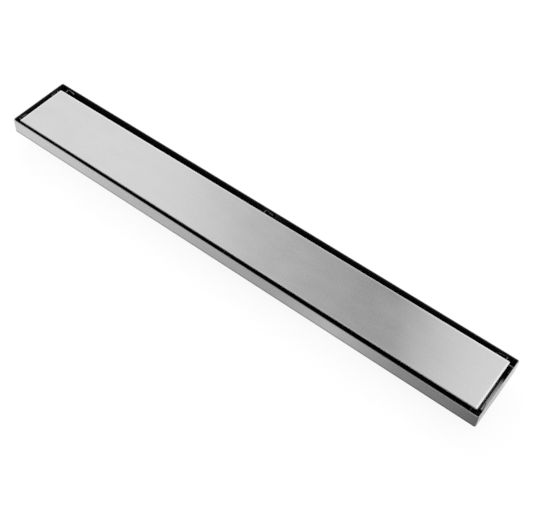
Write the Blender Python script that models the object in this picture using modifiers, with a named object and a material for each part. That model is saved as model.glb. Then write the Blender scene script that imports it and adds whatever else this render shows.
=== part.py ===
# Linear floor drain with a tile insert, in metres.
# A shallow channel is folded from one sheet, and its floor is drawn down into an outlet collar.
# The insert tray lies loose in it on ten bent feet, plain side up, so its tile recess faces down.
# X runs along the drain, Y across it and Z up. The origin is the middle of the outlet's lower end.

import math

import bmesh
import bpy
from mathutils import Matrix

# Channel: outside sizes, and the inside radius of its folds
CHANNEL_LENGTH = 0.900
CHANNEL_WIDTH = 0.117
CHANNEL_HEIGHT = 0.028
CHANNEL_SHEET = 0.0015
CHANNEL_FOLD_INSIDE = 0.0010

# Outlet: the collar that is drawn out of the channel's floor, and the pipe welded under it
OUTLET_DIAMETER = 0.0761
OUTLET_DROP = 0.025
OUTLET_WALL = 0.0015
OUTLET_CHAMFER = 0.0002
COLLAR_DROP = 0.008
COLLAR_BEND_RADIUS = 0.0040
COLLAR_LEAD_IN = math.radians(10)

# Insert tray, with the open gap round it when it is centred
SIDE_GAP = 0.0081
END_GAP = 0.0072
INSERT_BELOW_RIM = 0.0010
INSERT_DEPTH = 0.0120
INSERT_SHEET = 0.0012
INSERT_FOLD_INSIDE = 0.0006

# How the loose tray lies: turned about Z, and moved from the middle of the channel
INSERT_TURN = math.radians(0.249)
INSERT_SHIFT_X = -0.00048
INSERT_SHIFT_Y = -0.00113

# Feet: strip bent to an L in plan. One leg is welded to the tray's skirt and reaches out for the
# wall. The other runs along the wall, and springs away from it
FOOT_WIDTH = 0.0150
FOOT_SHEET = 0.0010
FOOT_FOLD_INSIDE = 0.0004
FOOT_SPRING = math.radians(8)
FOOT_PLAY = 0.0005
FOOT_BELOW_FOLD = 0.0006
SIDE_FOOT_INSET = 0.0152
SIDE_FOOT_SHIFT = 0.0008
MIDDLE_FOOT_SHIFT = 0.0070
END_FOOT_INSET = 0.0117

# Space between pieces that touch, the extra rounding of welded corners over the folds that they
# join, the width of broken edges, and how finely round shapes are divided
SEAT_GAP = 0.0003
CORNER_EASE = 0.0004
EDGE_ROUNDING = 0.0002
ROUND_SIDES = 72
FOLD_SEGMENTS = 4
COLLAR_SEGMENTS = 8

base_z = OUTLET_DROP
floor_z = base_z + CHANNEL_SHEET
face_z = base_z + CHANNEL_HEIGHT - INSERT_BELOW_RIM
insert_length = CHANNEL_LENGTH - 2 * (CHANNEL_SHEET + END_GAP)
insert_width = CHANNEL_WIDTH - 2 * (CHANNEL_SHEET + SIDE_GAP)
channel_fold_radius = CHANNEL_FOLD_INSIDE + CHANNEL_SHEET
insert_fold_radius = INSERT_FOLD_INSIDE + INSERT_SHEET
foot_drop = insert_fold_radius + FOOT_BELOW_FOLD
outlet_radius = OUTLET_DIAMETER / 2
collar_end_z = base_z - COLLAR_DROP


def clear_scene():
    for obj in list(bpy.data.objects):
        bpy.data.objects.remove(obj, do_unlink=True)


def make_collection(name):
    collection = bpy.data.collections.new(name)
    bpy.context.scene.collection.children.link(collection)
    return collection


def make_steel(name, grey, roughness):
    material = bpy.data.materials.new(name)
    material.use_nodes = True
    shader = material.node_tree.nodes["Principled BSDF"]
    shader.inputs["Base Color"].default_value = (grey, grey, grey, 1.0)
    shader.inputs["Metallic"].default_value = 1.0
    shader.inputs["Roughness"].default_value = roughness
    return material


def add_object(name, mesh, collection):
    obj = bpy.data.objects.new(name, mesh)
    collection.objects.link(obj)
    return obj


def mesh_from(shape, name, material=None):
    """Turns a bmesh into a mesh, smooth but for its sharp edges."""
    mesh = bpy.data.meshes.new(name)
    shape.to_mesh(mesh)
    shape.free()
    mesh.shade_smooth()
    mesh.set_sharp_from_angle(angle=math.radians(35))
    if material:
        mesh.materials.append(material)
    return mesh


def thicken(obj, sheet):
    """Gives an open surface its sheet thickness inwards, and breaks the cut edges."""
    solidify = obj.modifiers.new("sheet", "SOLIDIFY")
    solidify.thickness = sheet
    solidify.offset = -1.0
    solidify.use_even_offset = True
    bevel = obj.modifiers.new("broken edges", "BEVEL")
    bevel.width = EDGE_ROUNDING
    bevel.segments = 2
    bevel.limit_method = "ANGLE"
    bevel.angle_limit = math.radians(60)


def combine(obj, operation, other):
    boolean = obj.modifiers.new(operation.lower(), "BOOLEAN")
    boolean.operation = operation
    boolean.solver = "EXACT"
    boolean.object = other
    other.hide_render = True
    other.display_type = "WIRE"


def round_edges(shape, edges, radius):
    bmesh.ops.bevel(shape, geom=edges, offset=radius, segments=FOLD_SEGMENTS,
                    profile=0.5, affect="EDGES")


def folded_pan(length, width, height, fold_radius):
    """An open pan of sheet with its mouth up: the ground welds at its corners, then its folds."""
    pan = bmesh.new()
    bmesh.ops.create_cube(pan, size=1.0)
    bmesh.ops.scale(pan, vec=(length, width, height), verts=pan.verts)
    bmesh.ops.translate(pan, vec=(0, 0, height / 2), verts=pan.verts)
    mouth = [face for face in pan.faces if face.normal.z > 0.5]
    bmesh.ops.delete(pan, geom=mouth, context="FACES")
    corners = [edge for edge in pan.edges if edge.verts[0].co.z != edge.verts[1].co.z]
    round_edges(pan, corners, fold_radius + CORNER_EASE)
    folds = [edge for edge in pan.edges if all(vert.co.z < height / 2 for vert in edge.verts)]
    round_edges(pan, folds, fold_radius)
    return pan


def turned(name, points, collection):
    """Turns a profile of (radius, z) points about Z. It runs down the outer side first."""
    profile = bmesh.new()
    verts = [profile.verts.new((radius, 0, z)) for radius, z in points]
    for first, second in zip(verts, verts[1:]):
        profile.edges.new((first, second))
    if points[0][0] > 0:
        profile.edges.new((verts[-1], verts[0]))
    obj = add_object(name, mesh_from(profile, name), collection)
    screw = obj.modifiers.new("turned", "SCREW")
    screw.steps = ROUND_SIDES
    screw.render_steps = ROUND_SIDES
    screw.use_merge_vertices = True
    screw.merge_threshold = 0.00005
    return obj


def collar_skin(bend_radius, wall_radius, top_z, bottom_z):
    """One face of the drawn collar: down a shallow lead-in, round the bend and down the wall."""
    centre_x = wall_radius + bend_radius
    centre_z = base_z - COLLAR_BEND_RADIUS
    bend_end = math.pi / 2 - COLLAR_LEAD_IN
    bend = []
    for step in range(COLLAR_SEGMENTS + 1):
        angle = bend_end * (1 - step / COLLAR_SEGMENTS)
        bend.append((centre_x - bend_radius * math.cos(angle), centre_z + bend_radius * math.sin(angle)))
    first_x, first_z = bend[0]
    brim_x = first_x + (top_z - first_z) / math.tan(COLLAR_LEAD_IN)
    return [(0, top_z), (brim_x, top_z)] + bend + [(wall_radius, bottom_z), (0, bottom_z)]


def make_channel(parts, cutters):
    pan = folded_pan(CHANNEL_LENGTH, CHANNEL_WIDTH, CHANNEL_HEIGHT, channel_fold_radius)
    steel = make_steel("channel steel", 0.60, 0.34)
    channel = add_object("channel", mesh_from(pan, "channel", steel), parts)
    channel.location.z = base_z
    thicken(channel, CHANNEL_SHEET)

    outside = collar_skin(COLLAR_BEND_RADIUS, outlet_radius,
                          base_z + CHANNEL_SHEET / 2, collar_end_z)
    inside = collar_skin(COLLAR_BEND_RADIUS + CHANNEL_SHEET, outlet_radius - CHANNEL_SHEET,
                         floor_z + CHANNEL_SHEET / 2, collar_end_z - CHANNEL_SHEET)
    combine(channel, "UNION", turned("collar_outside", outside, cutters))
    combine(channel, "DIFFERENCE", turned("collar_inside", inside, cutters))


def make_outlet_pipe(parts):
    inner_radius = outlet_radius - OUTLET_WALL
    top_z = collar_end_z - SEAT_GAP
    points = [
        (outlet_radius, top_z),
        (outlet_radius, OUTLET_CHAMFER),
        (outlet_radius - OUTLET_CHAMFER, 0),
        (inner_radius + OUTLET_CHAMFER, 0),
        (inner_radius, OUTLET_CHAMFER),
        (inner_radius, top_z),
    ]
    pipe = turned("outlet_pipe", points, parts)
    pipe.data.materials.append(make_steel("outlet steel", 0.56, 0.30))


def make_insert_place(parts):
    """The tray's own frame, on its top face, at the turn and shift in which it happens to lie."""
    place = bpy.data.objects.new("insert_place", None)
    place.location = (INSERT_SHIFT_X, INSERT_SHIFT_Y, face_z)
    place.rotation_euler.z = INSERT_TURN
    parts.objects.link(place)
    return place


def make_insert_tray(parts, place):
    pan = folded_pan(insert_length, insert_width, INSERT_DEPTH, insert_fold_radius)
    bmesh.ops.rotate(pan, matrix=Matrix.Rotation(math.pi, 3, "X"), verts=pan.verts)
    steel = make_steel("insert steel", 0.62, 0.38)
    tray = add_object("insert_tray", mesh_from(pan, "insert_tray", steel), parts)
    tray.parent = place
    thicken(tray, INSERT_SHEET)


def side_reach(leg_x, side):
    """From the skirt of a long side to the wall beyond it, less the play, at the leg's place."""
    wall = CHANNEL_WIDTH / 2 - CHANNEL_SHEET
    drift = leg_x * math.sin(INSERT_TURN) + INSERT_SHIFT_Y
    return wall - FOOT_PLAY - side * drift - insert_width / 2


def end_reach(leg_y, end):
    wall = CHANNEL_LENGTH / 2 - CHANNEL_SHEET
    drift = INSERT_SHIFT_X - leg_y * math.sin(INSERT_TURN)
    return wall - FOOT_PLAY - end * drift - insert_length / 2


def make_foot_mesh(name, reach, hand, steel):
    """A foot whose welded leg starts at y = 0, left of the middle for hand 1, with its top at z = 0."""
    height = face_z - foot_drop - floor_z - SEAT_GAP
    depth = reach - SEAT_GAP
    strip = bmesh.new()
    bmesh.ops.create_cube(strip, size=1.0)
    bmesh.ops.scale(strip, vec=(FOOT_WIDTH, depth, height), verts=strip.verts)
    bmesh.ops.translate(strip, vec=(0, SEAT_GAP + depth / 2, -height / 2), verts=strip.verts)
    kept = [face for face in strip.faces if face.normal.x < -0.5 or face.normal.y > 0.5]
    dropped = [face for face in strip.faces if face not in kept]
    bmesh.ops.delete(strip, geom=dropped, context="FACES")
    for vert in strip.verts:
        if vert.co.x > 0:
            vert.co.y -= FOOT_WIDTH * math.sin(FOOT_SPRING)
    fold = [edge for edge in strip.edges if len(edge.link_faces) == 2]
    round_edges(strip, fold, FOOT_FOLD_INSIDE + FOOT_SHEET)
    everything = list(strip.verts) + list(strip.edges) + list(strip.faces)
    bmesh.ops.bisect_plane(strip, geom=everything, plane_co=(0, reach, channel_fold_radius - height),
                           plane_no=(0, 1, -1), clear_outer=True)
    if hand < 0:
        bmesh.ops.scale(strip, vec=(-1, 1, 1), verts=strip.verts)
        bmesh.ops.reverse_faces(strip, faces=strip.faces)
    return mesh_from(strip, name, steel)


def make_foot(name, mesh, parts, place, position, facing):
    foot = add_object(name, mesh, parts)
    foot.parent = place
    foot.location = (*position, -foot_drop)
    foot.rotation_euler.z = facing
    solidify = foot.modifiers.new("sheet", "SOLIDIFY")
    solidify.thickness = FOOT_SHEET
    solidify.offset = -1.0
    solidify.use_even_offset = True


def make_feet(parts, place):
    """Three feet to a long side and two to an end. Each welded leg is at its foot's outer end."""
    steel = make_steel("foot steel", 0.55, 0.30)
    end_foot = insert_length / 2 - SIDE_FOOT_INSET
    side_feet = [(SIDE_FOOT_SHIFT - end_foot, -1, "left"), (MIDDLE_FOOT_SHIFT, -1, "middle"),
                 (SIDE_FOOT_SHIFT + end_foot, 1, "right")]
    for x, leg, along in side_feet:
        for side, across, facing in ((-1, "front", math.pi), (1, "back", 0)):
            name = f"foot_{across}_{along}"
            reach = side_reach(x + leg * FOOT_WIDTH / 2, side)
            mesh = make_foot_mesh(name, reach, -side * leg, steel)
            make_foot(name, mesh, parts, place, (x, side * insert_width / 2), facing)
    for end, along in ((-1, "left"), (1, "right")):
        for leg, across in ((-1, "front"), (1, "back")):
            name = f"foot_{along}_end_{across}"
            y = leg * (insert_width / 2 - END_FOOT_INSET)
            reach = end_reach(y + leg * FOOT_WIDTH / 2, end)
            mesh = make_foot_mesh(name, reach, leg * end, steel)
            make_foot(name, mesh, parts, place, (end * insert_length / 2, y), -end * math.pi / 2)


def main():
    clear_scene()
    parts = make_collection("tile_insert_floor_drain")
    cutters = make_collection("cutters")
    make_channel(parts, cutters)
    make_outlet_pipe(parts)
    place = make_insert_place(parts)
    make_insert_tray(parts, place)
    make_feet(parts, place)


main()
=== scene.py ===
import math

import bmesh
import bpy
from mathutils import Matrix, Vector


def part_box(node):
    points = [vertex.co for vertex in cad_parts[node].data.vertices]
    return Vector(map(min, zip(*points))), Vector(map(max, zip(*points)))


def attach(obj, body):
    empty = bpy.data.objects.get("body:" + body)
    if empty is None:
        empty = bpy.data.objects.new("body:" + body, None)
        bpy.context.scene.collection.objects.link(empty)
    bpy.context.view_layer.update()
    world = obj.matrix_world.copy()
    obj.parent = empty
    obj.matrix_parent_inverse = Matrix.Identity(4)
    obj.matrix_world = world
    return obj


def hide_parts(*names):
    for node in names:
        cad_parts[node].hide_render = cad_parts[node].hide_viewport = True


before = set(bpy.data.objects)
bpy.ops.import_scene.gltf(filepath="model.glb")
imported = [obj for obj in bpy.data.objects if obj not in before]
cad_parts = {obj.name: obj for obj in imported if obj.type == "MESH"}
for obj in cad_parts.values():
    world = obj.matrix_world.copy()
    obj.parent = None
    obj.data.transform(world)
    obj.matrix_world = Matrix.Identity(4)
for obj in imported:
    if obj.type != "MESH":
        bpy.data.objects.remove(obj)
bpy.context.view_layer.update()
print("drain: model loaded")


# Small helpers for node trees

def addNode(tree, kind, **settings):
    node = tree.nodes.new(kind)
    for setting, value in settings.items():
        setattr(node, setting, value)
    return node


def mathNode(tree, operation, first, second=None, clamp=False):
    # first and second are numbers or sockets
    node = addNode(tree, "ShaderNodeMath", operation=operation, use_clamp=clamp)
    for socket, value in zip(node.inputs, (first, second)):
        if isinstance(value, bpy.types.NodeSocket):
            tree.links.new(value, socket)
        elif value is not None:
            socket.default_value = value
    return node.outputs["Value"]


def rangeNode(tree, value, fromLow, fromHigh, toLow, toHigh, smooth=False):
    node = addNode(tree, "ShaderNodeMapRange")
    if smooth:
        node.interpolation_type = "SMOOTHSTEP"
    tree.links.new(value, node.inputs["Value"])
    limits = {"From Min": fromLow, "From Max": fromHigh, "To Min": toLow, "To Max": toHigh}
    for name, number in limits.items():
        node.inputs[name].default_value = number
    return node.outputs["Result"]


noiseBand = (0.3, 0.7)    # nearly all values of a noise texture lie between these two


def overNoise(tree, noise, low, high):
    return rangeNode(tree, noise, *noiseBand, low, high)


def splitVector(tree, vector):
    # The outputs X, Y and Z of a vector
    split = addNode(tree, "ShaderNodeSeparateXYZ")
    tree.links.new(vector, split.inputs["Vector"])
    return split.outputs


def maskValue(tree, name):
    return addNode(tree, "ShaderNodeAttribute", attribute_name=name).outputs["Fac"]


def stretchedNoise(tree, vector, scale, detail, roughness=0.55):
    mapping = addNode(tree, "ShaderNodeMapping", vector_type="POINT")
    tree.links.new(vector, mapping.inputs["Vector"])
    mapping.inputs["Scale"].default_value = scale
    noise = addNode(tree, "ShaderNodeTexNoise")
    tree.links.new(mapping.outputs["Vector"], noise.inputs["Vector"])
    noise.inputs["Scale"].default_value = 1.0
    noise.inputs["Detail"].default_value = detail
    noise.inputs["Roughness"].default_value = roughness
    return noise.outputs["Fac"]


def startGroup(name, inputs, outputs):
    # inputs and outputs are (socket name, kind, starting value) rows
    tree = bpy.data.node_groups.new(name, "ShaderNodeTree")
    kinds = {"value": "NodeSocketFloat", "vector": "NodeSocketVector"}
    for direction, rows in (("INPUT", inputs), ("OUTPUT", outputs)):
        for socketName, kind, start in rows:
            socket = tree.interface.new_socket(name=socketName, in_out=direction, socket_type=kinds[kind])
            if start is not None:
                socket.default_value = start
    return tree, addNode(tree, "NodeGroupInput"), addNode(tree, "NodeGroupOutput")


# Shared effects, as shader groups that give masks and normals

grainLook = {
    "fineScale": (1.0, 1.0, 1.0),
    "broadScale": (0.11, 0.35, 1.0),
    "fineShare": 0.6,
    "broadShare": 0.4,
    "bumpHeight": 0.00002,
}


def brushedGrainGroup():
    # Lines left by the belt. The vector is the brush map: x across the lines and y along them, in metres
    tree, start, end = startGroup(
        "brushedGrain",
        [("Vector", "vector", None), ("Lines Across", "value", 2600.0), ("Lines Along", "value", 14.0),
         ("Depth", "value", 0.2)],
        [("Streak", "value", None), ("Normal", "vector", None)],
    )
    brush = splitVector(tree, start.outputs["Vector"])
    across = mathNode(tree, "MULTIPLY", brush["X"], start.outputs["Lines Across"])
    along = mathNode(tree, "MULTIPLY", brush["Y"], start.outputs["Lines Along"])
    join = addNode(tree, "ShaderNodeCombineXYZ")
    tree.links.new(across, join.inputs["X"])
    tree.links.new(along, join.inputs["Y"])
    fine = stretchedNoise(tree, join.outputs["Vector"], grainLook["fineScale"], detail=2.0)
    broad = stretchedNoise(tree, join.outputs["Vector"], grainLook["broadScale"], detail=2.0)
    finePart = mathNode(tree, "MULTIPLY", fine, grainLook["fineShare"])
    broadPart = mathNode(tree, "MULTIPLY", broad, grainLook["broadShare"])
    tree.links.new(mathNode(tree, "ADD", finePart, broadPart), end.inputs["Streak"])
    bump = addNode(tree, "ShaderNodeBump")
    bump.inputs["Distance"].default_value = grainLook["bumpHeight"]
    tree.links.new(start.outputs["Depth"], bump.inputs["Strength"])
    tree.links.new(fine, bump.inputs["Height"])
    tree.links.new(bump.outputs["Normal"], end.inputs["Normal"])
    return tree


waveLook = {
    "waveScale": (1.0, 1.6, 1.6),
    "cloudScale": (2.3, 4.6, 4.6),
    "bumpHeight": 0.0006,
}


def sheetWaveGroup():
    # The slow waviness that thin rolled sheet keeps, and faint clouding of its surface
    tree, start, end = startGroup(
        "sheetWave",
        [("Vector", "vector", None), ("Normal", "vector", None), ("Waves", "value", 9.0),
         ("Depth", "value", 0.5)],
        [("Cloud", "value", None), ("Normal", "vector", None)],
    )
    scaled = addNode(tree, "ShaderNodeVectorMath", operation="SCALE")
    tree.links.new(start.outputs["Vector"], scaled.inputs["Vector"])
    tree.links.new(start.outputs["Waves"], scaled.inputs["Scale"])
    place = scaled.outputs["Vector"]
    wave = stretchedNoise(tree, place, waveLook["waveScale"], detail=1.0, roughness=0.4)
    cloud = stretchedNoise(tree, place, waveLook["cloudScale"], detail=3.0, roughness=0.5)
    tree.links.new(cloud, end.inputs["Cloud"])
    bump = addNode(tree, "ShaderNodeBump")
    bump.inputs["Distance"].default_value = waveLook["bumpHeight"]
    tree.links.new(start.outputs["Depth"], bump.inputs["Strength"])
    tree.links.new(wave, bump.inputs["Height"])
    tree.links.new(start.outputs["Normal"], bump.inputs["Normal"])
    tree.links.new(bump.outputs["Normal"], end.inputs["Normal"])
    return tree


markLook = {
    "lines": ((0.35, (9.0, 620.0, 40.0)), (-1.1, (14.0, 480.0, 40.0))),    # turn in radians and scale
    "patchScale": (26.0, 31.0, 26.0),
    "lineCut": (0.66, 0.72),
    "patchCut": (0.5, 0.62),
}


def handlingMarksGroup():
    # A few thin scratches in two directions, in patches. The amount is how strongly they show
    tree, start, end = startGroup(
        "handlingMarks",
        [("Vector", "vector", None), ("Amount", "value", 0.1)],
        [("Mark", "value", None)],
    )
    found = None
    for turn, scale in markLook["lines"]:
        turned = addNode(tree, "ShaderNodeVectorRotate", rotation_type="Z_AXIS")
        turned.inputs["Angle"].default_value = turn
        tree.links.new(start.outputs["Vector"], turned.inputs["Vector"])
        along = turned.outputs["Vector"]
        line = stretchedNoise(tree, along, scale, detail=1.0, roughness=0.3)
        patch = stretchedNoise(tree, along, markLook["patchScale"], detail=1.0, roughness=0.5)
        thin = rangeNode(tree, line, *markLook["lineCut"], 0.0, 1.0, smooth=True)
        there = rangeNode(tree, patch, *markLook["patchCut"], 0.0, 1.0, smooth=True)
        mark = mathNode(tree, "MULTIPLY", thin, there)
        found = mark if found is None else mathNode(tree, "MAXIMUM", found, mark)
    tree.links.new(mathNode(tree, "MULTIPLY", found, start.outputs["Amount"]), end.inputs["Mark"])
    return tree


groups = {
    "grain": brushedGrainGroup(),
    "wave": sheetWaveGroup(),
    "marks": handlingMarksGroup(),
}
print("drain: shared effects made")


# Steel finishes

def startSteel(name, look):
    # A metal whose fixed values sit on the shader itself. Its tone and roughness are linked by the caller
    material = bpy.data.materials.new(name)
    material.use_nodes = True
    tree = material.node_tree
    shader = tree.nodes["Principled BSDF"]
    shader.inputs["Metallic"].default_value = 1.0
    shader.inputs["Anisotropic"].default_value = look["spread"]
    return material, tree, shader


def placeGroup(tree, key, vector, **values):
    node = addNode(tree, "ShaderNodeGroup", node_tree=groups[key])
    tree.links.new(vector, node.inputs["Vector"])
    for name, value in values.items():
        node.inputs[name.replace("_", " ")].default_value = value
    return node


sheetFinish = {
    "roughSwing": 0.02,
    "markRoughness": 0.25,
}


def sheetSteel(name, look, extraTone=None):
    # Folded and brushed sheet: grain along the brush map, slow waves, scratches, and painted shade that
    # darkens the faces masked as inside
    material, tree, shader = startSteel(name, look)
    place = addNode(tree, "ShaderNodeTexCoord").outputs["Object"]
    brush = addNode(tree, "ShaderNodeUVMap", uv_map="brush").outputs["UV"]
    tangent = addNode(tree, "ShaderNodeTangent", direction_type="UV_MAP", uv_map="brush")
    tree.links.new(tangent.outputs["Tangent"], shader.inputs["Tangent"])
    grain = placeGroup(tree, "grain", brush, Depth=look["grainDepth"])
    wave = placeGroup(tree, "wave", place, Waves=look["waves"], Depth=look["waveDepth"])
    tree.links.new(grain.outputs["Normal"], wave.inputs["Normal"])
    tree.links.new(wave.outputs["Normal"], shader.inputs["Normal"])
    marks = placeGroup(tree, "marks", place, Amount=look["scratches"])
    inside = maskValue(tree, "inside")

    darker = mathNode(tree, "MULTIPLY", inside, look["paintedShadeTone"] - look["tone"])
    tone = mathNode(tree, "ADD", look["tone"], darker)
    if extraTone:
        tone = extraTone(tree, place, tone)
    streaks = overNoise(tree, grain.outputs["Streak"], 1 - look["streaks"], 1 + look["streaks"])
    clouds = overNoise(tree, wave.outputs["Cloud"], 1 - look["clouds"], 1 + look["clouds"])
    tone = mathNode(tree, "MULTIPLY", mathNode(tree, "MULTIPLY", tone, streaks), clouds)
    tree.links.new(tone, shader.inputs["Base Color"])

    swing = sheetFinish["roughSwing"]
    rough = overNoise(tree, wave.outputs["Cloud"], look["roughness"] - swing, look["roughness"] + swing)
    marked = mathNode(tree, "MULTIPLY", marks.outputs["Mark"], sheetFinish["markRoughness"])
    rough = mathNode(tree, "ADD", rough, marked)
    rough = mathNode(tree, "ADD", rough, mathNode(tree, "MULTIPLY", inside, look["insideRoughness"]))
    if "floorRoughness" in look:
        floor = maskValue(tree, "floor")
        rough = mathNode(tree, "ADD", rough, mathNode(tree, "MULTIPLY", floor, look["floorRoughness"]))
    tree.links.new(rough, shader.inputs["Roughness"])
    return material


# Pieces that keep a CAD node's shape, with its doubles merged so that folds shade smooth

shading = {
    "mergeGap": 0.000002,
    "sharpAngle": 50,
    "faceWeight": 90,    # how much the large faces decide the shading of a fold
}

# How far a face's normal points up, for it to count as facing up, facing down or upright
faceLimits = {
    "up": 0.7,
    "down": -0.5,
    "upright": 0.1,
}


def applyModifiers(piece):
    # Turns a piece and its modifiers into a plain mesh
    graph = bpy.context.evaluated_depsgraph_get()
    mesh = bpy.data.meshes.new_from_object(piece.evaluated_get(graph))
    piece.modifiers.clear()
    piece.data = mesh
    mesh.name = piece.name
    return piece


def linkPiece(name, mesh):
    piece = bpy.data.objects.new(name, mesh)
    bpy.context.scene.collection.objects.link(piece)
    return piece


def addBrushMap(mesh):
    # u runs across the brushed lines and v along them, in metres
    layer = mesh.uv_layers.new(name="brush")
    for face in mesh.polygons:
        normal = [abs(value) for value in face.normal]
        lengthwise = normal[0] < max(normal[1], normal[2])
        for loop in face.loop_indices:
            x, y, z = mesh.vertices[mesh.loops[loop].vertex_index].co
            across = z if normal[2] < max(normal[0], normal[1]) else y
            layer.data[loop].uv = (across, x if lengthwise else y)


def addMask(mesh, name, amount):
    # One value for each face corner, so that it stays crisp at the folds
    mask = mesh.attributes.new(name, "FLOAT", "CORNER")
    for face in mesh.polygons:
        value = float(amount(face.center, face.normal))
        for loop in face.loop_indices:
            mask.data[loop].value = value


def mergedCopy(nodeName, pieceName):
    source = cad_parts[nodeName].data
    shape = bmesh.new()
    copies = [shape.verts.new(vert.co) for vert in source.vertices]
    for face in source.polygons:
        shape.faces.new([copies[index] for index in face.vertices])
    bmesh.ops.remove_doubles(shape, verts=shape.verts, dist=shading["mergeGap"])
    mesh = bpy.data.meshes.new(pieceName)
    shape.to_mesh(mesh)
    shape.free()
    mesh.shade_smooth()
    mesh.set_sharp_from_angle(angle=math.radians(shading["sharpAngle"]))
    piece = linkPiece(pieceName, mesh)
    weighted = piece.modifiers.new("flat faces stay flat", "WEIGHTED_NORMAL")
    weighted.mode = "FACE_AREA"
    weighted.weight = shading["faceWeight"]
    weighted.keep_sharp = True
    return applyModifiers(piece)


def dress(piece, material, slotName, *nodeNames):
    piece.data.materials.clear()
    piece.data.materials.append(material)
    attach(piece, "root")
    if nodeNames:
        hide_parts(*nodeNames)


channelLook = {
    "tone": 0.62,
    # painted shade: the channel's inner faces are drawn nearly black
    "paintedShadeTone": 0.05,
    "roughness": 0.36,
    "insideRoughness": 0.10,    # added to the roughness of the brushed outside
    # painted shade: the channel's floor is drawn nearly black
    "floorTone": 0.04,
    "floorRoughness": 0.06,
    "floorReach": 0.001,    # how far below the feet the floor may lie
    "spread": 0.6,    # how far reflections are drawn out across the grain
    "grainDepth": 0.25,
    "streaks": 0.03,    # how much the tone swings from line to line, as a share
    "clouds": 0.02,
    "waves": 7.0,
    "waveDepth": 0.25,
    "scratches": 0.15,
    "sheet": 0.0015,
    # painted shade on the walls' top edge, as a share of the tone
    "paintedRimShade": 0.2,
    "rimDepths": (0.0004, 0.0002),    # below the top, where the painted shade on the rim begins and where it is full
    "rimBand": 0.0004,    # the outer edge along the front, which the painted shade leaves bright
    "rimSoftEdge": 0.0001,
    "wideBand": 0.0035,    # the same edge at the left corner
    "wideBandEnds": (0.0025, 0.005),    # from the left end: here the wide band ends and the narrow begins
    "endSoftEdge": 0.0002,
    "patchPlace": 0.4414,
    "patchSoftEdge": 0.0006,
    "patchFade": (0.028, 0.038),    # the y at which the painted patch of light begins to fade, and where it ends
    # the tone of the painted patch of light
    "litPatchTone": 0.62,
    "foldHeights": (-0.0015, -0.0006, 0.0056),    # from the feet's lower edge: none, full and none again
    # painted shade at the bottom fold, as a share of the tone
    "paintedFoldShade": 0.5,
}


def makeChannel():
    low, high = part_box("channel")
    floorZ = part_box("foot_back_left")[0].z
    look = channelLook

    def paintedRimShade(tree, place):
        # Painted shade on the top edge of the walls, except a bright strip along the front's outer edge
        # and at the right end
        begin, full = look["rimDepths"]
        top = rangeNode(tree, place["Z"], high.z - begin, high.z - full, 0.0, 1.0)
        wideEnd, narrowStart = look["wideBandEnds"]
        front = rangeNode(tree, place["X"], low.x + wideEnd, low.x + narrowStart,
                          low.y + look["wideBand"], low.y + look["rimBand"])
        beyond = mathNode(tree, "SUBTRACT", place["Y"], front)
        behind = rangeNode(tree, beyond, 0.0, look["rimSoftEdge"], 0.0, 1.0)
        rightEnd = high.x - look["sheet"]
        soft = look["endSoftEdge"]
        left = rangeNode(tree, place["X"], rightEnd - soft, rightEnd + soft, 1.0, 0.0)
        shaded = mathNode(tree, "MULTIPLY", top, mathNode(tree, "MULTIPLY", behind, left))
        return rangeNode(tree, shaded, 0.0, 1.0, 1.0, look["paintedRimShade"])

    def floorShadeAndLight(tree, place):
        # Painted shade makes the channel's floor nearly black, but for a painted patch of light beside
        # the tray's right end
        edge = look["patchPlace"]
        beside = rangeNode(tree, place["X"], edge, edge + look["patchSoftEdge"], 0.0, 1.0)
        fade = rangeNode(tree, place["Y"], *look["patchFade"], 1.0, 0.0, smooth=True)
        litPatch = mathNode(tree, "MULTIPLY", beside, fade)
        dark, light = look["floorTone"] / look["tone"], look["litPatchTone"] / look["tone"]
        return rangeNode(tree, litPatch, 0.0, 1.0, dark, light)

    def paintedFoldShade(tree, place, outside):
        # Painted shade on the outside, strongest just above the bottom fold
        lowest, middle, highest = (floorZ + height for height in look["foldHeights"])
        under = rangeNode(tree, place["Z"], lowest, middle, 0.0, 1.0)
        over = rangeNode(tree, place["Z"], middle, highest, 1.0, 0.0, smooth=True)
        fold = mathNode(tree, "MULTIPLY", mathNode(tree, "MULTIPLY", under, over), outside)
        return rangeNode(tree, fold, 0.0, 1.0, 1.0, look["paintedFoldShade"])

    def channelPaintedShading(tree, objectPlace, tone):
        # Painted shade on the rim, the floor and the bottom fold, and a painted patch of light on the
        # floor
        place = splitVector(tree, objectPlace)
        inside = maskValue(tree, "inside")
        floor = maskValue(tree, "floor")
        tone = mathNode(tree, "MULTIPLY", tone, paintedRimShade(tree, place))
        elsewhere = mathNode(tree, "MULTIPLY", mathNode(tree, "SUBTRACT", 1.0, floor), tone)
        floorTone = mathNode(tree, "MULTIPLY", floorShadeAndLight(tree, place), tone)
        tone = mathNode(tree, "ADD", elsewhere, mathNode(tree, "MULTIPLY", floor, floorTone))
        outside = mathNode(tree, "SUBTRACT", 1.0, mathNode(tree, "MAXIMUM", inside, floor))
        return mathNode(tree, "MULTIPLY", tone, paintedFoldShade(tree, place, outside))

    half = Vector((high.x, high.y, 0)) - Vector((1, 1, 0)) * look["sheet"] / 2
    rimZ = high.z - look["sheet"] / 3

    def isInside(centre, normal):
        if centre.z > rimZ and normal.z > faceLimits["up"]:
            return False
        if centre.z <= floorZ or normal.z <= faceLimits["down"]:
            return False
        return abs(centre.x) < half.x and abs(centre.y) < half.y

    def isFloor(centre, normal):
        return normal.z > faceLimits["up"] and floorZ - look["floorReach"] < centre.z < floorZ

    piece = mergedCopy("channel", "channelShell")
    addBrushMap(piece.data)
    addMask(piece.data, "inside", isInside)
    addMask(piece.data, "floor", isFloor)
    dress(piece, sheetSteel("channelBrushedSteel", look, channelPaintedShading), "channel_steel", "channel")


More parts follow.
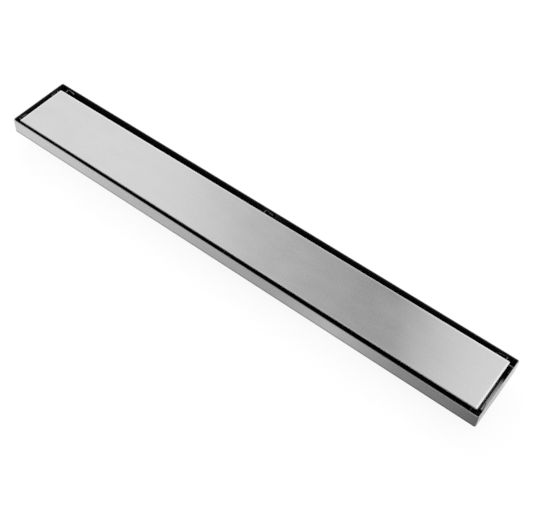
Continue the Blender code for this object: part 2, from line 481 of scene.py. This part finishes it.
trayLook = {
    "tone": 0.665,
    # painted shade on the tray's downward faces
    "paintedShadeTone": 0.14,
    "roughness": 0.20,
    "insideRoughness": 0.08,
    "spread": 0.8,
    "grainDepth": 0.2,
    "streaks": 0.025,
    "clouds": 0.022,
    "waves": 8.0,
    "waveDepth": 0.5,
    "scratches": 0.03,
    "foldDepth": 0.0012,
    "skirtDepth": 0.0030,
    # painted shade at the foot of the skirt, as a share of the tone
    "skirtShadeShare": 0.22,
    "highlightBand": 0.0042,    # the width of the painted highlight along the back and the ends
    # how much brighter the painted highlight is
    "highlightGain": 0.28,
}


def trayTurn(mesh):
    # The turn about Z at which the tray lies, from the largest face of its skirt
    sides = [face for face in mesh.polygons if abs(face.normal.z) < faceLimits["upright"]]
    side = max(sides, key=lambda face: face.area)
    return math.atan(-side.normal.x / side.normal.y)


def makeTray():
    low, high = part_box("insert_tray")

    def isInside(centre, normal):
        return normal.z < faceLimits["down"]

    def trayPaintedShading(tree, place, tone):
        # Painted shade on the skirt below the fold, darker downwards
        depth = mathNode(tree, "SUBTRACT", high.z, splitVector(tree, place)["Z"])
        share = rangeNode(tree, depth, trayLook["foldDepth"], trayLook["skirtDepth"], 1.0,
                          trayLook["skirtShadeShare"], smooth=True)
        # Painted highlight: the back and the ends are a little brighter
        level = addNode(tree, "ShaderNodeVectorRotate", rotation_type="Z_AXIS")
        level.inputs["Center"].default_value = (low + high) / 2
        level.inputs["Angle"].default_value = -turn
        tree.links.new(place, level.inputs["Vector"])
        own = splitVector(tree, level.outputs["Vector"])
        middle = (low.x + high.x) / 2
        fromMiddle = mathNode(tree, "ABSOLUTE", mathNode(tree, "SUBTRACT", own["X"], middle))
        band = trayLook["highlightBand"]
        ends = rangeNode(tree, fromMiddle, halfLength - band, halfLength - band / 2, 0.0, 1.0)
        backEdge = (low.y + high.y) / 2 + halfWidth
        back = rangeNode(tree, own["Y"], backEdge - band, backEdge - band / 2, 0.0, 1.0)
        highlight = mathNode(tree, "MULTIPLY", mathNode(tree, "MAXIMUM", ends, back), trayLook["highlightGain"])
        share = mathNode(tree, "MULTIPLY", share, mathNode(tree, "ADD", highlight, 1.0))
        return mathNode(tree, "MULTIPLY", tone, share)

    piece = mergedCopy("insert_tray", "insertTray")
    turn = trayTurn(piece.data)
    across, along = high.y - low.y, high.x - low.x
    halfLength = (along * math.cos(turn) - across * math.sin(turn)) / math.cos(2 * turn) / 2
    halfWidth = (across * math.cos(turn) - along * math.sin(turn)) / math.cos(2 * turn) / 2
    addBrushMap(piece.data)
    addMask(piece.data, "inside", isInside)
    dress(piece, sheetSteel("insertBrushedSteel", trayLook, trayPaintedShading), "insert_steel", "insert_tray")


footLook = {
    "tone": 0.42,
    # painted shade over all of a foot but its lit top edges
    "paintedShadeTone": 0.03,
    "roughness": 0.30,
    "insideRoughness": 0.10,
    "spread": 0.3,
    "grainDepth": 0.1,
    "streaks": 0.02,
    "clouds": 0.03,
    "waves": 60.0,
    "waveDepth": 0.05,
    "scratches": 0.1,
    "legReach": 0.0016,    # how far a leg reaches from its outer edge
    "topBand": 0.0001,
    # Painted highlight: how brightly a foot's cut top edge shows, on its welded leg and on its free leg.
    # The rest of each foot carries painted shade
    "paintedEdgeHighlight": {
        "foot_back_left": (0.55, 1.0),
        "foot_back_middle": (0.6, 0.55),
        "foot_back_right": (0.6, 0.15),
        "foot_left_end_back": (0.75, 1.0),
        "foot_left_end_front": (0.75, 1.0),
        "foot_right_end_back": (0.47, 0.0),
    },
}


footNodes = [nodeName for nodeName in sorted(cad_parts) if nodeName.startswith("foot_")]


def weldedEdge(nodeName):
    # The axis along a foot's skirt, and the way and place of the outer edge, where its welded leg is
    low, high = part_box(nodeName)
    along = 1 if "_end_" in nodeName else 0
    way = 1.0 if nodeName.endswith(("_right", "_back")) else -1.0
    return along, way, high[along] if way > 0 else low[along]


def makeFeet():
    steel = sheetSteel("footSteel", footLook)
    for nodeName in footNodes:
        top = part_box(nodeName)[1].z
        along, way, edge = weldedEdge(nodeName)
        welded, free = footLook["paintedEdgeHighlight"].get(nodeName, (0.0, 0.0))

        def footShade(centre, normal):
            if centre.z < top - footLook["topBand"]:
                return 1.0
            return 1.0 - (welded if abs(centre[along] - edge) < footLook["legReach"] else free)

        piece = mergedCopy(nodeName, nodeName + "_strip")
        addBrushMap(piece.data)
        addMask(piece.data, "inside", footShade)
        dress(piece, steel, "foot_steel", nodeName)


makeChannel()
makeTray()
makeFeet()
print("drain: channel, tray and feet dressed")


# Geometry Nodes helpers

def startTree(name, inputs):
    tree = bpy.data.node_groups.new(name, "GeometryNodeTree")
    tree.interface.new_socket(name="Geometry", in_out="INPUT", socket_type="NodeSocketGeometry")
    for socketName, kind, start in inputs:
        socket = tree.interface.new_socket(name=socketName, in_out="INPUT", socket_type=kind)
        if start is not None:
            socket.default_value = start
    tree.interface.new_socket(name="Geometry", in_out="OUTPUT", socket_type="NodeSocketGeometry")
    return tree, addNode(tree, "NodeGroupInput"), addNode(tree, "NodeGroupOutput")


def finishTree(tree, geometry, start, end):
    # Every tree ends in real geometry with its material set
    real = addNode(tree, "GeometryNodeRealizeInstances")
    smooth = addNode(tree, "GeometryNodeSetShadeSmooth")
    paint = addNode(tree, "GeometryNodeSetMaterial")
    tree.links.new(geometry, smooth.inputs["Geometry"])
    tree.links.new(smooth.outputs["Geometry"], real.inputs["Geometry"])
    tree.links.new(real.outputs["Geometry"], paint.inputs["Geometry"])
    tree.links.new(start.outputs["Material"], paint.inputs["Material"])
    tree.links.new(paint.outputs["Geometry"], end.inputs["Geometry"])


def shakenBy(tree, geometry, noise, amount):
    # Moves each point by the noise's colour, centred on no move
    centred = addNode(tree, "ShaderNodeVectorMath", operation="SUBTRACT")
    tree.links.new(noise.outputs["Color"], centred.inputs[0])
    centred.inputs[1].default_value = (0.5, 0.5, 0.5)
    offset = addNode(tree, "ShaderNodeVectorMath", operation="SCALE")
    tree.links.new(centred.outputs["Vector"], offset.inputs["Vector"])
    tree.links.new(amount, offset.inputs["Scale"])
    moved = addNode(tree, "GeometryNodeSetPosition")
    tree.links.new(geometry, moved.inputs["Geometry"])
    tree.links.new(offset.outputs["Vector"], moved.inputs["Offset"])
    return moved.outputs["Geometry"]


def runTree(piece, tree, **values):
    modifier = piece.modifiers.new(tree.name, "NODES")
    modifier.node_group = tree
    sockets = {item.name: item.identifier for item in tree.interface.items_tree
               if item.item_type == "SOCKET" and item.in_out == "INPUT"}
    for name, value in values.items():
        modifier[sockets[name.replace("_", " ")]] = value
    return applyModifiers(piece)


def pathMesh(name, paths):
    # Each path is (points, closed)
    verts, edges = [], []
    for points, closed in paths:
        first = len(verts)
        verts += [tuple(point) for point in points]
        edges += [(first + step, first + step + 1) for step in range(len(points) - 1)]
        if closed:
            edges.append((len(verts) - 1, first))
    mesh = bpy.data.meshes.new(name)
    mesh.from_pydata(verts, edges, [])
    return mesh


def beadTree():
    # A weld bead along a path, with the ripples that each drop of filler leaves
    tree, start, end = startTree("weldBead", [
        ("Bead Radius", "NodeSocketFloat", 0.001), ("Ripple Pitch", "NodeSocketFloat", 0.0012),
        ("Ripple Depth", "NodeSocketFloat", 0.25), ("Step", "NodeSocketFloat", 0.0002),
        ("Sides", "NodeSocketInt", 10), ("Wander", "NodeSocketFloat", 0.0001),
        ("Wander Scale", "NodeSocketFloat", 160.0), ("Seed", "NodeSocketFloat", 3.0),
        ("Material", "NodeSocketMaterial", None),
    ])
    curve = addNode(tree, "GeometryNodeMeshToCurve")
    tree.links.new(start.outputs["Geometry"], curve.inputs["Mesh"])
    even = addNode(tree, "GeometryNodeResampleCurve", mode="LENGTH")
    tree.links.new(curve.outputs["Curve"], even.inputs["Curve"])
    tree.links.new(start.outputs["Step"], even.inputs["Length"])

    noise = addNode(tree, "ShaderNodeTexNoise", noise_dimensions="4D")
    tree.links.new(start.outputs["Wander Scale"], noise.inputs["Scale"])
    tree.links.new(start.outputs["Seed"], noise.inputs["W"])
    moved = shakenBy(tree, even.outputs["Curve"], noise, start.outputs["Wander"])

    along = addNode(tree, "GeometryNodeSplineParameter").outputs["Length"]
    part = mathNode(tree, "FRACT", mathNode(tree, "DIVIDE", along, start.outputs["Ripple Pitch"]))
    arch = mathNode(tree, "MULTIPLY", part, mathNode(tree, "SUBTRACT", 1.0, part))
    hump = mathNode(tree, "MULTIPLY", arch, 4.0)    # 1 in the middle of a ripple and 0 at its ends
    hollow = mathNode(tree, "SUBTRACT", 1.0, hump)
    lost = mathNode(tree, "MULTIPLY", hollow, start.outputs["Ripple Depth"])
    kept = mathNode(tree, "SUBTRACT", 1.0, lost)
    width = mathNode(tree, "MULTIPLY", kept, start.outputs["Bead Radius"])
    ring = addNode(tree, "GeometryNodeCurvePrimitiveCircle")
    ring.inputs["Radius"].default_value = 1.0
    tree.links.new(start.outputs["Sides"], ring.inputs["Resolution"])
    bead = addNode(tree, "GeometryNodeCurveToMesh")
    bead.inputs["Fill Caps"].default_value = True
    tree.links.new(moved, bead.inputs["Curve"])
    tree.links.new(ring.outputs["Curve"], bead.inputs["Profile Curve"])
    tree.links.new(width, bead.inputs["Scale"])
    finishTree(tree, bead.outputs["Mesh"], start, end)
    return tree


def tackTree():
    # A tack weld at each point: an uneven dome that faces the way of the point's own arrow
    tree, start, end = startTree("tackWelds", [
        ("Tack Radius", "NodeSocketFloat", 0.0009), ("Smallest", "NodeSocketFloat", 0.8),
        ("Largest", "NodeSocketFloat", 1.2), ("Stretch", "NodeSocketFloat", 1.3),
        ("Flatness", "NodeSocketFloat", 0.55), ("Unevenness", "NodeSocketFloat", 0.00012),
        ("Uneven Scale", "NodeSocketFloat", 900.0), ("Seed", "NodeSocketInt", 5),
        ("Material", "NodeSocketMaterial", None),
    ])
    ball = addNode(tree, "GeometryNodeMeshIcoSphere")
    ball.inputs["Radius"].default_value = 1.0
    ball.inputs["Subdivisions"].default_value = 3
    arrow = addNode(tree, "GeometryNodeInputNamedAttribute", data_type="FLOAT_VECTOR")
    arrow.inputs["Name"].default_value = "facing"
    aim = addNode(tree, "FunctionNodeAlignRotationToVector", axis="Z")
    tree.links.new(arrow.outputs["Attribute"], aim.inputs["Vector"])
    spread = addNode(tree, "FunctionNodeRandomValue", data_type="FLOAT")
    tree.links.new(start.outputs["Smallest"], spread.inputs[2])    # the lower limit of a float
    tree.links.new(start.outputs["Largest"], spread.inputs[3])    # and the upper one
    tree.links.new(start.outputs["Seed"], spread.inputs["Seed"])
    radius = mathNode(tree, "MULTIPLY", spread.outputs[1], start.outputs["Tack Radius"])
    size = addNode(tree, "ShaderNodeCombineXYZ")
    tree.links.new(radius, size.inputs["X"])
    tree.links.new(mathNode(tree, "MULTIPLY", radius, start.outputs["Stretch"]), size.inputs["Y"])
    tree.links.new(mathNode(tree, "MULTIPLY", radius, start.outputs["Flatness"]), size.inputs["Z"])
    tacks = addNode(tree, "GeometryNodeInstanceOnPoints")
    tree.links.new(start.outputs["Geometry"], tacks.inputs["Points"])
    tree.links.new(ball.outputs["Mesh"], tacks.inputs["Instance"])
    tree.links.new(aim.outputs["Rotation"], tacks.inputs["Rotation"])
    tree.links.new(size.outputs["Vector"], tacks.inputs["Scale"])
    real = addNode(tree, "GeometryNodeRealizeInstances")
    tree.links.new(tacks.outputs["Instances"], real.inputs["Geometry"])
    noise = addNode(tree, "ShaderNodeTexNoise")
    tree.links.new(start.outputs["Uneven Scale"], noise.inputs["Scale"])
    moved = shakenBy(tree, real.outputs["Geometry"], noise, start.outputs["Unevenness"])
    finishTree(tree, moved, start, end)
    return tree


def pipeTree():
    # A cut length of tube, standing on z = 0, with both ends broken all round
    tree, start, end = startTree("cutTube", [
        ("Outer Radius", "NodeSocketFloat", 0.03805), ("Wall", "NodeSocketFloat", 0.0015),
        ("Length", "NodeSocketFloat", 0.0167), ("Broken Edge", "NodeSocketFloat", 0.0002),
        ("Sides", "NodeSocketInt", 192), ("Material", "NodeSocketMaterial", None),
    ])
    path = addNode(tree, "GeometryNodeCurvePrimitiveCircle")
    tree.links.new(start.outputs["Sides"], path.inputs["Resolution"])
    halfWall = mathNode(tree, "MULTIPLY", start.outputs["Wall"], 0.5)
    middle = mathNode(tree, "SUBTRACT", start.outputs["Outer Radius"], halfWall)
    tree.links.new(middle, path.inputs["Radius"])
    section = addNode(tree, "GeometryNodeCurvePrimitiveQuadrilateral", mode="RECTANGLE")
    tree.links.new(start.outputs["Wall"], section.inputs["Width"])
    tree.links.new(start.outputs["Length"], section.inputs["Height"])
    broken = addNode(tree, "GeometryNodeFilletCurve")
    tree.links.new(section.outputs["Curve"], broken.inputs["Curve"])
    tree.links.new(start.outputs["Broken Edge"], broken.inputs["Radius"])
    tube = addNode(tree, "GeometryNodeCurveToMesh")
    tree.links.new(path.outputs["Curve"], tube.inputs["Curve"])
    tree.links.new(broken.outputs["Curve"], tube.inputs["Profile Curve"])
    lift = addNode(tree, "GeometryNodeTransform")
    up = addNode(tree, "ShaderNodeCombineXYZ")
    tree.links.new(mathNode(tree, "MULTIPLY", start.outputs["Length"], 0.5), up.inputs["Z"])
    tree.links.new(tube.outputs["Mesh"], lift.inputs["Geometry"])
    tree.links.new(up.outputs["Vector"], lift.inputs["Translation"])
    finishTree(tree, lift.outputs["Geometry"], start, end)
    return tree


pipeLook = {
    "tone": 0.56,
    "boreTone": 0.22,
    "roughness": 0.30,
    "roughSwing": 0.03,
    "spread": 0.4,
    "grainTurn": 0.25,
    "grainDepth": 0.25,
    "streaks": 0.05,
    "waves": 40.0,
    "waveDepth": 0.1,
    "rings": 1800.0,
    "sides": 192,
    "wall": 0.0015,
    "brokenEdge": 0.0002,
}


def pipeSteel():
    # Turned tube: the grain runs round it, and the bore is darker
    material, tree, shader = startSteel("outletTurnedSteel", pipeLook)
    objectPlace = addNode(tree, "ShaderNodeTexCoord").outputs["Object"]
    place = splitVector(tree, objectPlace)
    tangent = addNode(tree, "ShaderNodeTangent", direction_type="RADIAL", axis="Z")
    tree.links.new(tangent.outputs["Tangent"], shader.inputs["Tangent"])
    shader.inputs["Anisotropic Rotation"].default_value = pipeLook["grainTurn"]
    ringPlace = addNode(tree, "ShaderNodeCombineXYZ")
    tree.links.new(place["Z"], ringPlace.inputs["X"])
    grain = placeGroup(tree, "grain", ringPlace.outputs["Vector"], Lines_Across=pipeLook["rings"],
                       Depth=pipeLook["grainDepth"])
    wave = placeGroup(tree, "wave", objectPlace, Waves=pipeLook["waves"], Depth=pipeLook["waveDepth"])
    tree.links.new(grain.outputs["Normal"], wave.inputs["Normal"])
    tree.links.new(wave.outputs["Normal"], shader.inputs["Normal"])
    squares = [mathNode(tree, "POWER", place[axis], 2.0) for axis in ("X", "Y")]
    radius = mathNode(tree, "SQRT", mathNode(tree, "ADD", *squares))
    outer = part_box("outlet_pipe")[1].x
    tone = rangeNode(tree, radius, outer - pipeLook["wall"], outer - pipeLook["wall"] / 2,
                     pipeLook["boreTone"], pipeLook["tone"])
    streaks = overNoise(tree, grain.outputs["Streak"], 1 - pipeLook["streaks"], 1 + pipeLook["streaks"])
    tree.links.new(mathNode(tree, "MULTIPLY", tone, streaks), shader.inputs["Base Color"])
    middle, swing = pipeLook["roughness"], pipeLook["roughSwing"]
    rough = overNoise(tree, wave.outputs["Cloud"], middle - swing, middle + swing)
    tree.links.new(rough, shader.inputs["Roughness"])
    return material


def makeOutletPipe():
    low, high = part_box("outlet_pipe")
    steel = pipeSteel()
    piece = linkPiece("outletPipe", bpy.data.meshes.new("outletPipe"))
    runTree(piece, pipeTree(), Outer_Radius=high.x, Wall=pipeLook["wall"], Length=high.z - low.z,
            Broken_Edge=pipeLook["brokenEdge"], Sides=pipeLook["sides"], Material=steel)
    piece.data.set_sharp_from_angle(angle=math.radians(shading["sharpAngle"]))
    dress(piece, steel, "outlet_steel", "outlet_pipe")


weldLook = {
    "tone": 0.50,
    "tintTone": 0.36,
    # painted shade: the welds inside the channel's corners are drawn nearly black
    "cornerShadeTone": 0.10,
    "cornerShadeTintTone": 0.05,
    "tintBand": (0.35, 0.65),
    "roughness": (0.32, 0.22),    # where it is tinted, and where it is bright
    "spread": 0.0,
    "waves": 180.0,
    "beadStep": 0.00018,
    "ripplePitch": 0.0011,
    "rippleDepth": 0.28,
    "ringRadius": 0.0010,
    "ringSink": 0.0003,
    "ringPoints": 180,
    "cornerRadius": 0.0010,
    "cornerInset": 0.0006,
    "cornerFoot": 0.0285,    # the height at which a corner weld starts
    "cornerBelowTop": 0.0022,
    "cornerSeed": 8.0,
    "tackRadius": 0.0008,
    "tackDepths": (0.0035, 0.0085),    # below the tray's top
    "tackSink": 0.00005,
    "tackOverhang": 0.0001,
}


def weldSteel(name, tone, tintTone):
    # Filler metal: bright, with clouds that the heat has tinted darker
    material, tree, shader = startSteel(name, weldLook)
    place = addNode(tree, "ShaderNodeTexCoord").outputs["Object"]
    cloud = placeGroup(tree, "wave", place, Waves=weldLook["waves"]).outputs["Cloud"]
    shade = rangeNode(tree, cloud, *weldLook["tintBand"], tintTone, tone, smooth=True)
    tree.links.new(shade, shader.inputs["Base Color"])
    tree.links.new(overNoise(tree, cloud, *weldLook["roughness"]), shader.inputs["Roughness"])
    return material


def makeOutletWeld(bead, steel):
    # A ring that closes the seam between the collar and the pipe
    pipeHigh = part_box("outlet_pipe")[1]
    seamZ = (pipeHigh.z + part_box("channel")[0].z) / 2
    seamRadius = pipeHigh.x - weldLook["ringSink"]
    ring = []
    for step in range(weldLook["ringPoints"]):
        angle = math.tau * step / weldLook["ringPoints"]
        ring.append((seamRadius * math.cos(angle), seamRadius * math.sin(angle), seamZ))
    piece = linkPiece("outletWeld", pathMesh("outletWeld", [(ring, True)]))
    runTree(piece, bead, Bead_Radius=weldLook["ringRadius"], Ripple_Pitch=weldLook["ripplePitch"],
            Ripple_Depth=weldLook["rippleDepth"], Step=weldLook["beadStep"], Material=steel)
    dress(piece, steel, "outlet_steel")


def makeCornerWelds(bead, steel):
    # Inside the four corners, where the folded walls were joined and only the outside was ground flush
    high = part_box("channel")[1]
    inset = channelLook["sheet"] + weldLook["cornerInset"]
    foot, top = weldLook["cornerFoot"], high.z - weldLook["cornerBelowTop"]
    corners = []
    for sideX in (-1, 1):
        for sideY in (-1, 1):
            x, y = sideX * (high.x - inset), sideY * (high.y - inset)
            corners.append(([(x, y, foot), (x, y, top)], False))
    piece = linkPiece("cornerWelds", pathMesh("cornerWelds", corners))
    runTree(piece, bead, Bead_Radius=weldLook["cornerRadius"], Ripple_Pitch=weldLook["ripplePitch"],
            Ripple_Depth=weldLook["rippleDepth"], Step=weldLook["beadStep"], Seed=weldLook["cornerSeed"],
            Material=steel)
    dress(piece, steel, "channel_steel")


def footTackPoints():
    # Two tacks where a foot's outer leg meets the tray's skirt, with the way that they face
    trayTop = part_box("insert_tray")[1].z
    points, arrows = [], []
    for nodeName in footNodes:
        low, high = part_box(nodeName)
        other, way, edge = weldedEdge(nodeName)
        axis = 1 - other
        outward = math.copysign(1.0, low[axis])
        seat = low[axis] if outward > 0 else high[axis]
        for depth in weldLook["tackDepths"]:
            point = [0.0, 0.0, trayTop - depth]
            point[axis] = seat - outward * weldLook["tackSink"]
            point[other] = edge + way * weldLook["tackOverhang"]
            arrow = [0.0, 0.0, 0.0]
            arrow[axis] = outward
            arrow[other] = way
            points.append(point)
            arrows.append(Vector(arrow).normalized())
    return points, arrows


def makeFootTacks(steel):
    points, arrows = footTackPoints()
    mesh = bpy.data.meshes.new("footTacks")
    mesh.from_pydata(points, [], [])
    facings = mesh.attributes.new("facing", "FLOAT_VECTOR", "POINT")
    for row, arrow in zip(facings.data, arrows):
        row.vector = arrow
    piece = linkPiece("footTacks", mesh)
    runTree(piece, tackTree(), Tack_Radius=weldLook["tackRadius"], Material=steel)
    dress(piece, steel, "insert_steel")


makeOutletPipe()
beads = beadTree()
brightSteel = weldSteel("weldSteel", weldLook["tone"], weldLook["tintTone"])
# the corner welds get the painted shade tones
cornerShadeSteel = weldSteel("cornerWeldShadedSteel", weldLook["cornerShadeTone"], weldLook["cornerShadeTintTone"])
makeOutletWeld(beads, brightSteel)
makeCornerWelds(beads, cornerShadeSteel)
makeFootTacks(brightSteel)
print("drain: outlet and welds made")


# The studio: pale floor, even world, one soft lamp, and graded scrims that only reflections see

studio = {
    "worldLight": 0.80,    # on the object. The camera and reflections see the world at 1
    "floorGlow": 0.86,    # seen, but lights nothing
    "floorTone": 0.18,
    "floorSize": 14.0,
    "lampPlace": (-2.1, 1.6, 2.3),
    "lampSize": 2.2,
    "lampPower": 15.5,
}

# Each scrim: centre, width and height in metres, its turn in degrees, and how dark it is at each share
# of its width
scrims = {
    "backScrim": {
        "centre": (-0.60, 1.6, 3.6), "size": (1.8, 5.0), "turn": (90, 0, 0),
        "stops": ((0.0, 0.0), (0.18, 0.37), (0.31, 0.41), (0.46, 0.475), (0.56, 0.60), (0.65, 0.66),
                  (0.73, 0.245), (0.82, 0.09), (0.92, 0.0)),
    },
    "frontScrim": {
        "centre": (-0.8, -1.72, 2.75), "size": (7.0, 2.5), "turn": (70, 0, 0),
        "stops": ((0.0, 0.0), (0.1, 0.95), (0.9, 0.95), (1.0, 0.0)),
    },
    "lowFrontScrim": {
        "centre": (-0.8, -2.30, 1.13), "size": (7.0, 0.9), "turn": (70, 0, 0),
        "stops": ((0.0, 0.0), (0.1, 0.4), (0.9, 0.4), (1.0, 0.0)),
    },
    "leftScrim": {
        "centre": (-0.545, 0.0, 0.0006), "size": (0.17, 0.11), "turn": (0, 0, 0),
        "stops": ((0.0, 0.0), (0.3, 0.4), (1.0, 0.6)),
    },
    "rightScrim": {
        "centre": (0.545, -0.0075, 0.0006), "size": (0.17, 0.105), "turn": (0, 0, 0),
        "stops": ((0.0, 0.28), (0.6, 0.28), (1.0, 0.0)),
    },
    "underScrim": {
        "centre": (0.0, -0.03, 0.0006), "size": (0.9, 0.06), "turn": (0, 0, 0),
        "stops": ((0.0, 0.05), (0.23, 0.19), (0.59, 0.43), (0.71, 0.22), (0.83, 0.6), (1.0, 0.85)),
    },
    "tableScrim": {
        "centre": (0.10, -0.63, 0.0006), "size": (2.0, 1.14), "turn": (0, 0, 0),
        "stops": ((0.15, 0.0), (0.26, 0.05), (0.33, 0.19), (0.39, 0.24), (0.44, 0.37), (0.49, 0.43),
                  (0.545, 0.22), (0.60, 0.58), (0.65, 0.72), (0.70, 0.92), (0.8, 1.0)),
    },
}


def seenDirectly(tree):
    # 1 where the camera, a reflection or a transmission looks, 0 for light that bounces on
    path = addNode(tree, "ShaderNodeLightPath")
    seen = mathNode(tree, "ADD", path.outputs["Is Camera Ray"], path.outputs["Is Glossy Ray"])
    return mathNode(tree, "ADD", seen, path.outputs["Is Transmission Ray"], clamp=True)


def makeWorld():
    world = bpy.data.worlds.new("studioWorld")
    bpy.context.scene.world = world
    world.use_nodes = True
    tree = world.node_tree
    back = tree.nodes["Background"]
    back.inputs["Color"].default_value = (1, 1, 1, 1)
    strength = rangeNode(tree, seenDirectly(tree), 0, 1, studio["worldLight"], 1.0)
    tree.links.new(strength, back.inputs["Strength"])


def makeFloor():
    bpy.ops.mesh.primitive_plane_add(size=studio["floorSize"], location=(0, 0, 0))
    floor = bpy.context.object
    floor.name = "studioFloor"
    material = bpy.data.materials.new("studioFloor")
    material.use_nodes = True
    tree = material.node_tree
    tree.nodes.clear()
    glow = addNode(tree, "ShaderNodeEmission")
    strength = mathNode(tree, "MULTIPLY", seenDirectly(tree), studio["floorGlow"])
    tree.links.new(strength, glow.inputs["Strength"])
    matt = addNode(tree, "ShaderNodeBsdfDiffuse")
    matt.inputs["Color"].default_value = (studio["floorTone"],) * 3 + (1,)
    both = addNode(tree, "ShaderNodeAddShader")
    tree.links.new(glow.outputs["Emission"], both.inputs[0])
    tree.links.new(matt.outputs["BSDF"], both.inputs[1])
    output = addNode(tree, "ShaderNodeOutputMaterial")
    tree.links.new(both.outputs["Shader"], output.inputs["Surface"])
    floor.data.materials.append(material)


def makeScrim(name, look):
    width, height = look["size"]
    bpy.ops.mesh.primitive_plane_add(size=1, location=look["centre"],
                                     rotation=[math.radians(angle) for angle in look["turn"]])
    scrim = bpy.context.object
    scrim.name = name
    scrim.data.transform(Matrix.Diagonal((width, height, 1, 1)))
    for ray in ("visible_camera", "visible_diffuse", "visible_shadow", "visible_transmission"):
        setattr(scrim, ray, False)
    material = bpy.data.materials.new(name)
    material.use_nodes = True
    tree = material.node_tree
    tree.nodes.clear()
    place = splitVector(tree, addNode(tree, "ShaderNodeTexCoord").outputs["Object"])
    share = rangeNode(tree, place["X"], -width / 2, width / 2, 0.0, 1.0)
    ramp = addNode(tree, "ShaderNodeValToRGB")
    ramp.color_ramp.interpolation = "LINEAR"
    while len(ramp.color_ramp.elements) < len(look["stops"]):
        ramp.color_ramp.elements.new(0.5)
    for element, (position, dark) in zip(ramp.color_ramp.elements, look["stops"]):
        element.position = position
        element.color = (1 - dark, 1 - dark, 1 - dark, 1)
    tree.links.new(share, ramp.inputs["Fac"])
    cloth = addNode(tree, "ShaderNodeBsdfTransparent")
    tree.links.new(ramp.outputs["Color"], cloth.inputs["Color"])
    output = addNode(tree, "ShaderNodeOutputMaterial")
    tree.links.new(cloth.outputs["BSDF"], output.inputs["Surface"])
    scrim.data.materials.append(material)


def makeLamp():
    data = bpy.data.lights.new("softLamp", "AREA")
    data.size = studio["lampSize"]
    data.energy = studio["lampPower"]
    lamp = bpy.data.objects.new("softLamp", data)
    lamp.visible_glossy = False    # the white surroundings are what the steel mirrors
    bpy.context.scene.collection.objects.link(lamp)
    place = Vector(studio["lampPlace"])
    lamp.location = place
    lamp.rotation_euler = (-place).to_track_quat("-Z", "Y").to_euler()


makeWorld()
makeFloor()
for scrimName, scrimLook in scrims.items():
    makeScrim(scrimName, scrimLook)
makeLamp()
print("drain: studio ready")


cameraLook = {
    "place": (0.56714, -0.76770, 1.20717),
    "turn": (38.0811, -2.4386, 37.4059),
    "lens": 65.275,
    "sensorWidth": 36.0,
}


def makeCamera():
    data = bpy.data.cameras.new("camera")
    data.sensor_fit = "HORIZONTAL"
    data.sensor_width = cameraLook["sensorWidth"]
    data.lens = cameraLook["lens"]
    camera = bpy.data.objects.new("camera", data)
    camera.location = cameraLook["place"]
    camera.rotation_euler = [math.radians(angle) for angle in cameraLook["turn"]]
    bpy.context.scene.collection.objects.link(camera)
    bpy.context.scene.camera = camera


makeCamera()
bpy.context.scene.view_settings.view_transform = "Standard"
